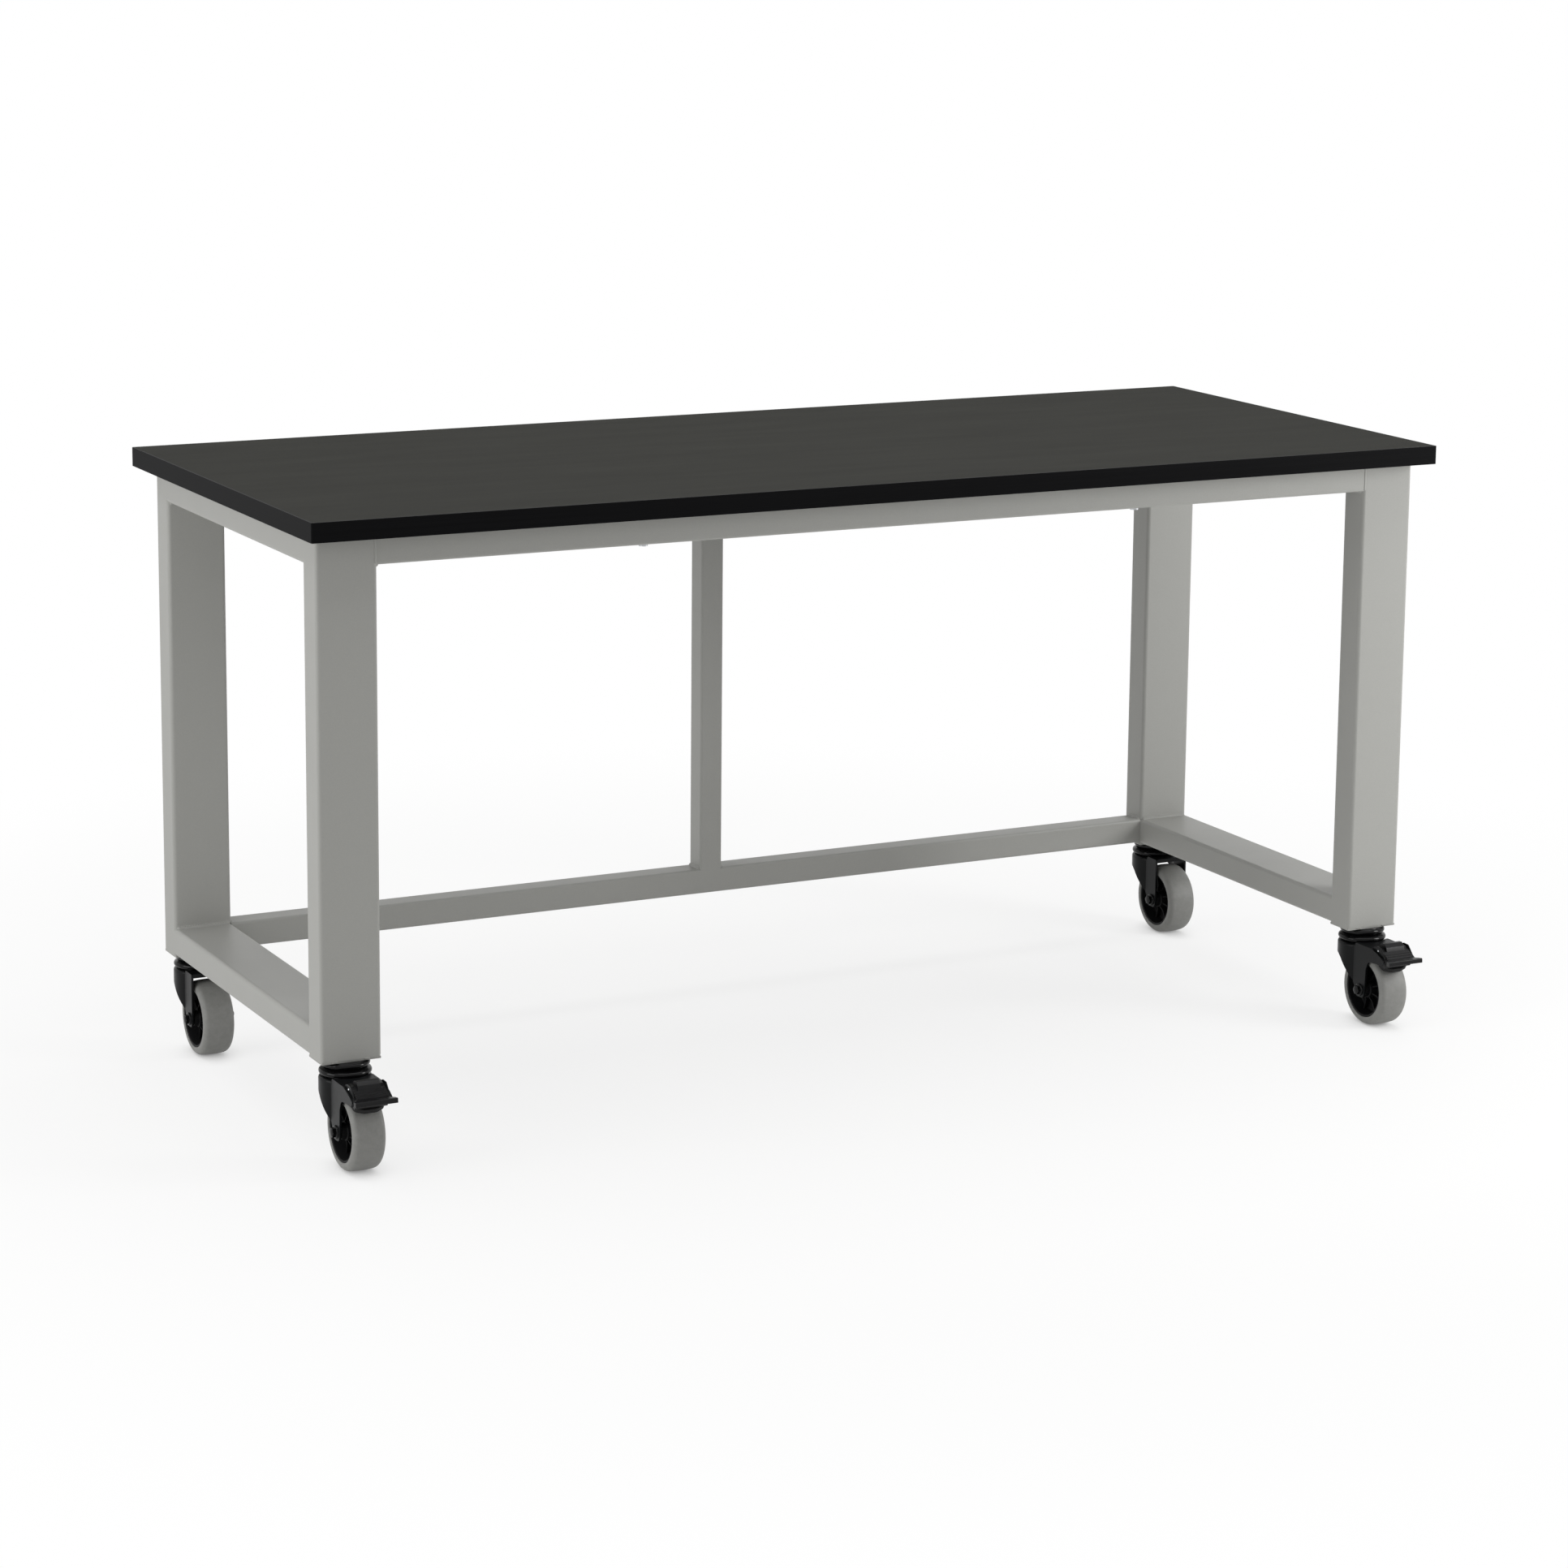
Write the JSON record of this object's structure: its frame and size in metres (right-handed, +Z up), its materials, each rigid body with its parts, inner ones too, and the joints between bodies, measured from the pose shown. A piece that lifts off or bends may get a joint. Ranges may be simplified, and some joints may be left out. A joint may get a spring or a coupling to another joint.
{
  "type": "workbench",
  "caption": "Rolling workbench: black laminate top on a grey welded tube frame with swivel casters, brakes on the front ones.",
  "frame": {"origin": "on the floor, under the middle of the whole outline, front brake pedals included", "axes": "+X along the bench to the right as seen from the front, +Y to the back, +Z up"},
  "size_m": [1.8288, 0.8206, 0.9144],
  "materials": {
    "laminate": "matt",
    "edge_band": "satin",
    "core_board": "raw board",
    "grey_powder_coat": "satin",
    "black_fork": "gloss",
    "black_core": "satin",
    "grey_tread": "matt",
    "plated_steel": "zinc plated",
    "black_fixing": "gloss",
    "brake_rubber": "matt"
  },
  "bodies": {
    "bench": {"top_laminate": "laminate", "top_backer": "laminate", "top_core": "core_board", "edge_bands": "edge_band", "front_apron": "grey_powder_coat", "back_apron": "grey_powder_coat", "back_stretcher": "grey_powder_coat", "centre_post": "grey_powder_coat", "base_plates": "grey_powder_coat", "stem_nuts": "plated_steel", "top_screws": "plated_steel", "left_front_leg": "grey_powder_coat", "left_back_leg": "grey_powder_coat", "left_top_rail": "grey_powder_coat", "left_bottom_rail": "grey_powder_coat", "right_front_leg": "grey_powder_coat", "right_back_leg": "grey_powder_coat", "right_top_rail": "grey_powder_coat", "right_bottom_rail": "grey_powder_coat", "fl_stem_race": "black_fixing", "fr_stem_race": "black_fixing", "bl_stem_race": "black_fixing", "br_stem_race": "black_fixing"},
    "fl_brake": {"fl_brake_pedal": "black_fork", "fl_brake_shoe": "brake_rubber"},
    "fl_caster": {"fl_lower_race": "black_fixing", "fl_fork": "black_fork", "fl_axle_bolt": "black_fixing", "fl_axle_nut": "black_fixing", "fl_hub_bush": "plated_steel", "fl_pedal_pin": "plated_steel"},
    "fl_wheel": {"fl_wheel_core": "black_core", "fl_tyre": "grey_tread"},
    "fr_brake": {"fr_brake_pedal": "black_fork", "fr_brake_shoe": "brake_rubber"},
    "fr_caster": {"fr_lower_race": "black_fixing", "fr_fork": "black_fork", "fr_axle_bolt": "black_fixing", "fr_axle_nut": "black_fixing", "fr_hub_bush": "plated_steel", "fr_pedal_pin": "plated_steel"},
    "fr_wheel": {"fr_wheel_core": "black_core", "fr_tyre": "grey_tread"},
    "bl_caster": {"bl_lower_race": "black_fixing", "bl_fork": "black_fork", "bl_axle_bolt": "black_fixing", "bl_axle_nut": "black_fixing", "bl_hub_bush": "plated_steel"},
    "bl_wheel": {"bl_wheel_core": "black_core", "bl_tyre": "grey_tread"},
    "br_caster": {"br_lower_race": "black_fixing", "br_fork": "black_fork", "br_axle_bolt": "black_fixing", "br_axle_nut": "black_fixing", "br_hub_bush": "plated_steel"},
    "br_wheel": {"br_wheel_core": "black_core", "br_tyre": "grey_tread"}
  },
  "joints": [
    {"name": "fl_swivel", "type": "hinge", "parent": "bench", "child": "fl_caster", "pos_m": [-0.85095, -0.2893, 0.135], "axis": [0, 0, 1], "continuous": true},
    {"name": "fl_roll", "type": "hinge", "parent": "fl_caster", "child": "fl_wheel", "pos_m": [-0.85095, -0.3303, 0.05715], "axis": [1, 0, 0], "continuous": true},
    {"name": "fl_brake_press", "type": "hinge", "parent": "fl_caster", "child": "fl_brake", "pos_m": [-0.85095, -0.3733, 0.1295], "axis": [1, 0, 0], "range_deg": [0, 12]},
    {"name": "fr_swivel", "type": "hinge", "parent": "bench", "child": "fr_caster", "pos_m": [0.85095, -0.2893, 0.135], "axis": [0, 0, 1], "continuous": true},
    {"name": "fr_roll", "type": "hinge", "parent": "fr_caster", "child": "fr_wheel", "pos_m": [0.85095, -0.3303, 0.05715], "axis": [1, 0, 0], "continuous": true},
    {"name": "fr_brake_press", "type": "hinge", "parent": "fr_caster", "child": "fr_brake", "pos_m": [0.85095, -0.3733, 0.1295], "axis": [1, 0, 0], "range_deg": [0, 12]},
    {"name": "bl_swivel", "type": "hinge", "parent": "bench", "child": "bl_caster", "pos_m": [-0.85095, 0.3309, 0.135], "axis": [0, 0, 1], "continuous": true},
    {"name": "bl_roll", "type": "hinge", "parent": "bl_caster", "child": "bl_wheel", "pos_m": [-0.85095, 0.2899, 0.05715], "axis": [1, 0, 0], "continuous": true},
    {"name": "br_swivel", "type": "hinge", "parent": "bench", "child": "br_caster", "pos_m": [0.85095, 0.3309, 0.135], "axis": [0, 0, 1], "continuous": true},
    {"name": "br_roll", "type": "hinge", "parent": "br_caster", "child": "br_wheel", "pos_m": [0.85095, 0.2899, 0.05715], "axis": [1, 0, 0], "continuous": true}
  ]
}
